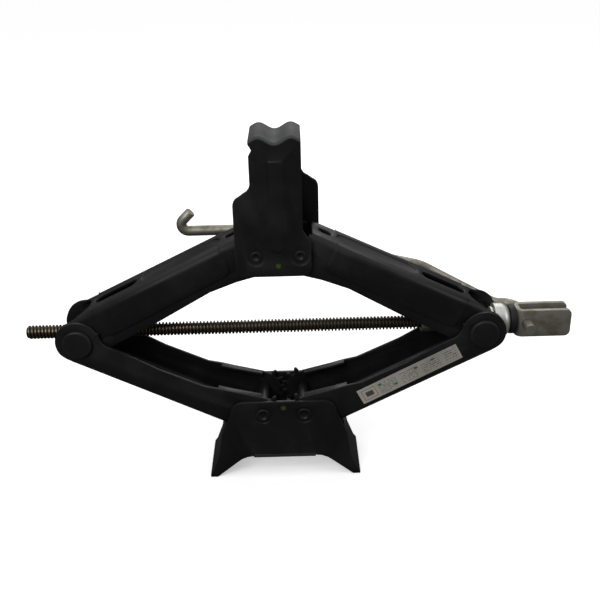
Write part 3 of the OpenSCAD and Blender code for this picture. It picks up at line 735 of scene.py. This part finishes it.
class JACK_OT_screw(bpy.types.Operator):
    """Winds the trapezoidal thread, and turns the plain shank that carries the bearing"""

    bl_idname = "jack.screw"
    bl_label = "Screw"

    def execute(self, context):
        screw = context.scene.jack_screw
        low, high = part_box("screw")
        crest = (high.z - low.z) / 2
        root = crest - screw.depth
        pitch = screw.pitch
        thread_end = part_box("spacer_sleeve")[0].x + 3 * MM
        spare_turns = 4
        turns = int((thread_end - low.x) / pitch) + spare_turns
        root_round = root + 0.12 * MM
        crest_round = crest - 0.18 * MM
        shares = [(0, root), (0.30, root), (0.36, root_round), (0.44, crest_round), (0.50, crest),
                  (0.80, crest), (0.86, crest_round), (0.94, root_round), (1, root)]
        start = low.x - spare_turns / 2 * pitch
        points = [Vector((start + share * pitch, 0, radius)) for share, radius in shares]
        thread = draw_chain("screw_thread", points)
        leave_edit()
        winding = thread.modifiers.new("Thread", "SCREW")
        winding.axis = "X"
        winding.screw_offset = pitch
        winding.iterations = turns
        winding.steps = THREAD_STEPS
        winding.render_steps = THREAD_STEPS
        winding.use_merge_vertices = True
        winding.merge_threshold = JOIN
        pick(thread)
        bpy.ops.object.modifier_apply(modifier=winding.name)
        edit(thread)
        bpy.ops.mesh.remove_doubles(threshold=JOIN)
        bpy.ops.mesh.select_all(action="SELECT")
        for end, outwards in ((low.x, -1), (thread_end, 1)):
            bpy.ops.mesh.bisect(plane_co=(end, 0, 0), plane_no=(outwards, 0, 0), use_fill=True,
                                clear_outer=True, threshold=SNAP)
            bpy.ops.mesh.select_all(action="SELECT")
        bpy.ops.mesh.normals_make_consistent(inside=False)
        bpy.ops.transform.translate(value=(0, 0, SCREW_AXIS_Z))
        leave_edit()
        chamfer_end(thread, low.x, root)
        paint_piece(thread, oiled_thread())
        smooth(thread, 30)
        finish_piece(thread, "screw", "oiled_steel", "screw")

        shank_from = thread_end - 0.5 * MM
        chamfer = 1.2 * MM
        shank_half = [(shank_from, 0), (shank_from, root - 0.2 * MM), (thread_end, crest),
                      (high.x - chamfer, crest), (high.x - chamfer / 2, crest - chamfer / 4),
                      (high.x, crest - chamfer), (high.x, 0)]
        shank = turn_on_lathe("screw_shank", shank_half, Vector((0, 0, SCREW_AXIS_Z)), "X")
        paint_piece(shank, bpy.data.materials["Oiled thread"])
        smooth(shank)
        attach(shank, "screw")
        return {"FINISHED"}


def chamfer_end(thread, tail, root):
    """Draws the thread's first turn in, so that the end of the screw is chamfered."""
    for vertex in thread.data.vertices:
        limit = root + max(0.0, vertex.co.x - tail)
        arm = Vector((vertex.co.y, vertex.co.z - SCREW_AXIS_Z))
        if arm.length > limit:
            arm *= limit / arm.length
            vertex.co.y, vertex.co.z = arm.x, arm.y + SCREW_AXIS_Z


class JACK_OT_bearing(bpy.types.Operator):
    """Finishes the sleeve, the races, the balls, the cup and the collar on the screw"""

    bl_idname = "jack.bearing"
    bl_label = "Thrust bearing"

    def execute(self, context):
        plate = context.scene.jack_plate
        bright = plated("Bright zinc", plate.bright, (0.48, 0.48, 0.45), 0.34, 0.46, 500.0)
        dull = plated("Dull zinc", plate.zinc, plate.tarnish, 0.3, 0.5, 900.0)
        black = black_paint("Black paint on pins")
        pieces = (
            ("spacer_sleeve", "screw", "zinc", dull),
            ("lower_race", "thrust_end", "bright_zinc", bright),
            ("bearing_balls", "thrust_end", "bright_zinc", bright),
            ("upper_race", "screw", "bright_zinc", bright),
            ("bearing_cup", "screw", "bright_zinc", bright),
            ("thrust_collar", "screw", "black_paint", black),
        )
        for node, body, slot, finish in pieces:
            piece = copy_of(node, node + "_finished")
            paint_piece(piece, finish)
            if node != "bearing_balls":
                round_edges(piece, 0.3 * MM, angle=40)
            smooth(piece, 45)
            finish_piece(piece, body, slot, node)
        return {"FINISHED"}


class JACK_OT_fork(bpy.types.Operator):
    """Rounds and plates the drive fork"""

    bl_idname = "jack.fork"
    bl_label = "Drive fork"

    def execute(self, context):
        plate = context.scene.jack_plate
        piece = copy_of("drive_fork", "drive_fork_plated")
        paint_piece(piece, plated("Fork zinc", plate.zinc, plate.tarnish, 0.5, 0.62, 900.0))
        round_edges(piece, 0.5 * MM)
        smooth(piece)
        finish_piece(piece, "screw", "zinc", "drive_fork")
        return {"FINISHED"}


class JACK_OT_handle(bpy.types.Operator):
    """Smooths and plates the crank handle's rod"""

    bl_idname = "jack.handle"
    bl_label = "Handle"

    def execute(self, context):
        plate = context.scene.jack_plate
        piece = copy_of("handle_rod", "handle_rod_plated")
        paint_piece(piece, plated("Handle zinc", plate.zinc, plate.tarnish, 0.48, 0.6, 700.0))
        smooth(piece, 45)
        finish_piece(piece, "handle", "zinc", "handle_rod")
        return {"FINISHED"}


class JACK_OT_sticker(bpy.types.Operator):
    """Gives the sticker its film and its plain printed patches"""

    bl_idname = "jack.sticker"
    bl_label = "Sticker"

    def execute(self, context):
        piece = copy_of("label", "label_film")
        paint_piece(piece, sticker_material())
        finish_piece(piece, "lower_right", "label_film", "label")
        return {"FINISHED"}


# ---------- stage ----------


def area_light(name, place, aim, size, power):
    bpy.ops.object.select_all(action="DESELECT")
    bpy.ops.object.light_add(type="AREA", location=place)
    light = bpy.context.view_layer.objects.active
    light.name = name
    light.data.shape = "SQUARE"
    light.data.size = size
    light.data.energy = power
    light.rotation_mode = "QUATERNION"
    light.rotation_quaternion = (Vector(aim) - Vector(place)).to_track_quat("-Z", "Y")


class JACK_OT_stage(bpy.types.Operator):
    """Lays the floor, hangs the lights and sets up the camera"""

    bl_idname = "jack.stage"
    bl_label = "Stage"

    def execute(self, context):
        stage = context.scene.jack_stage
        bpy.ops.object.select_all(action="DESELECT")
        bpy.ops.mesh.primitive_plane_add(size=stage.floor_size)
        floor = context.view_layer.objects.active
        floor.name = "floor"
        just_below = 0.05 * MM
        floor.location.z = -just_below
        floor.data.materials.append(floor_material())

        middle = (0, 0, 0.16)
        bpy.ops.object.select_all(action="DESELECT")
        bpy.ops.object.light_add(type="SUN", location=(0, 0, 2))
        overhead = context.view_layer.objects.active
        overhead.name = "Overhead light"
        overhead.data.energy = 1.6
        overhead.data.angle = radians(110)
        overhead.rotation_euler = (radians(-12), 0, 0)
        area_light("Front softbox", (-0.7, -1.3, 1.3), middle, 0.9, 14)
        area_light("Right softbox", (1.5, -0.5, 0.9), middle, 0.8, 5)
        area_light("Back softbox", (0.2, 1.5, 1.0), middle, 1.0, 6)

        world = bpy.data.worlds.new("Studio")
        world.use_nodes = True
        context.scene.world = world
        tree = world.node_tree
        backdrop = next(n for n in tree.nodes if n.type == "BACKGROUND")
        backdrop.inputs["Color"].default_value = (1, 1, 1, 1)
        fill = tree.nodes.new("ShaderNodeBackground")
        fill.inputs["Color"].default_value = (0.10, 0.10, 0.10, 1)
        light_path = tree.nodes.new("ShaderNodeLightPath")
        mix = tree.nodes.new("ShaderNodeMixShader")
        out = next(n for n in tree.nodes if n.type == "OUTPUT_WORLD")
        tree.links.new(light_path.outputs["Is Camera Ray"], mix.inputs["Fac"])
        tree.links.new(fill.outputs[0], mix.inputs[1])
        tree.links.new(backdrop.outputs[0], mix.inputs[2])
        tree.links.new(mix.outputs[0], out.inputs["Surface"])

        context.scene.view_settings.view_transform = "Standard"
        self.set_camera(context, stage)
        return {"FINISHED"}

    def set_camera(self, context, stage):
        heading, tilt, roll = stage.camera_heading, stage.camera_tilt, stage.camera_roll
        forward = Vector((sin(heading) * cos(tilt), cos(heading) * cos(tilt), -sin(tilt)))
        level = Vector((cos(heading), -sin(heading), 0))
        above = level.cross(forward)
        right = cos(roll) * level + sin(roll) * above
        up = cos(roll) * above - sin(roll) * level
        bpy.ops.object.camera_add()
        camera = context.view_layer.objects.active
        camera.data.sensor_width = 36
        camera.data.lens = stage.lens
        turn = Matrix((right, up, -forward)).transposed().to_4x4()
        camera.matrix_world = Matrix.Translation(stage.camera_place) @ turn
        context.scene.camera = camera


class JACK_PT_pieces(bpy.types.Panel):
    """Lists the settings and the pieces of the jack"""

    bl_label = "Scissor jack"
    bl_idname = "JACK_PT_pieces"
    bl_space_type = "VIEW_3D"
    bl_region_type = "UI"
    bl_category = "Scissor jack"

    def draw(self, context):
        for name, group in SETTINGS.items():
            box = self.layout.box()
            box.label(text=group.__doc__)
            for prop in group.__annotations__:
                box.prop(getattr(context.scene, name), prop)
        for operator in OPERATORS:
            self.layout.operator(operator.bl_idname)


OPERATORS = (
    JACK_OT_sheet_metal,
    JACK_OT_pins,
    JACK_OT_trunnions,
    JACK_OT_screw,
    JACK_OT_bearing,
    JACK_OT_fork,
    JACK_OT_handle,
    JACK_OT_sticker,
    JACK_OT_stage,
)


def register():
    for group in SETTINGS.values():
        bpy.utils.register_class(group)
    for name, group in SETTINGS.items():
        setattr(bpy.types.Scene, name, bpy.props.PointerProperty(type=group))
    for cls in (*OPERATORS, JACK_PT_pieces):
        bpy.utils.register_class(cls)


def unregister():
    for cls in (JACK_PT_pieces, *reversed(OPERATORS)):
        bpy.utils.unregister_class(cls)
    for name, group in SETTINGS.items():
        delattr(bpy.types.Scene, name)
        bpy.utils.unregister_class(group)


def main():
    register()
    bpy.ops.jack.sheet_metal()
    bpy.ops.jack.pins()
    bpy.ops.jack.trunnions()
    bpy.ops.jack.screw()
    bpy.ops.jack.bearing()
    bpy.ops.jack.fork()
    bpy.ops.jack.handle()
    bpy.ops.jack.sticker()
    bpy.ops.jack.stage()


if __name__ == "__main__":
    main()
